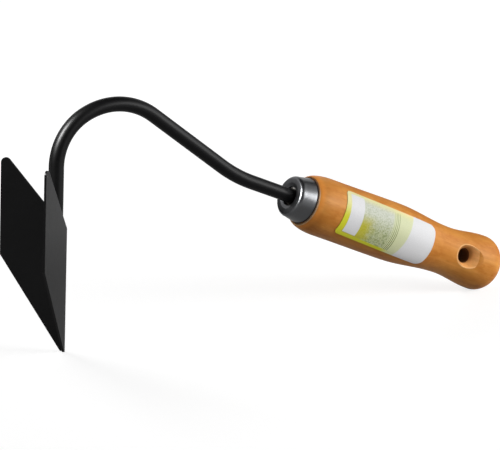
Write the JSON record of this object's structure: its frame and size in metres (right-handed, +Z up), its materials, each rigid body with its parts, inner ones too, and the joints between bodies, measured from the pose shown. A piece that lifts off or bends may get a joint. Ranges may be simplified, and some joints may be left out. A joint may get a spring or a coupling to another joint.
{
  "type": "furrow hoe",
  "caption": "Short hand hoe that opens a furrow: a folded steel blade on a gooseneck rod, with a turned wooden handle and a hole to hang it by.",
  "frame": {"origin": "middle of the footprint of the tool standing on the point of its blade and the butt of its handle, on the ground", "axes": "+X from the blade towards the handle's butt, +Z up, and the plane of the gooseneck is Y = 0; the side with the label faces -Y"},
  "size_m": [0.324, 0.0538, 0.1361],
  "materials": {
    "black_coat": "black powder coat, satin, on pressed sheet",
    "black_rod": "black paint, satin, on bent round bar",
    "nickel": "bright plated cap",
    "varnished_wood": "orange-brown stained hardwood under satin varnish",
    "printed_paper": "printed sticker with plain colour fields, coated"
  },
  "bodies": {
    "root": {"furrow_blade": "black_coat", "gooseneck_shank": "black_rod", "weld_bead_near": "black_coat", "weld_bead_far": "black_coat", "ferrule": "nickel", "handle": "varnished_wood", "label": "printed_paper"}
  },
  "joints": []
}
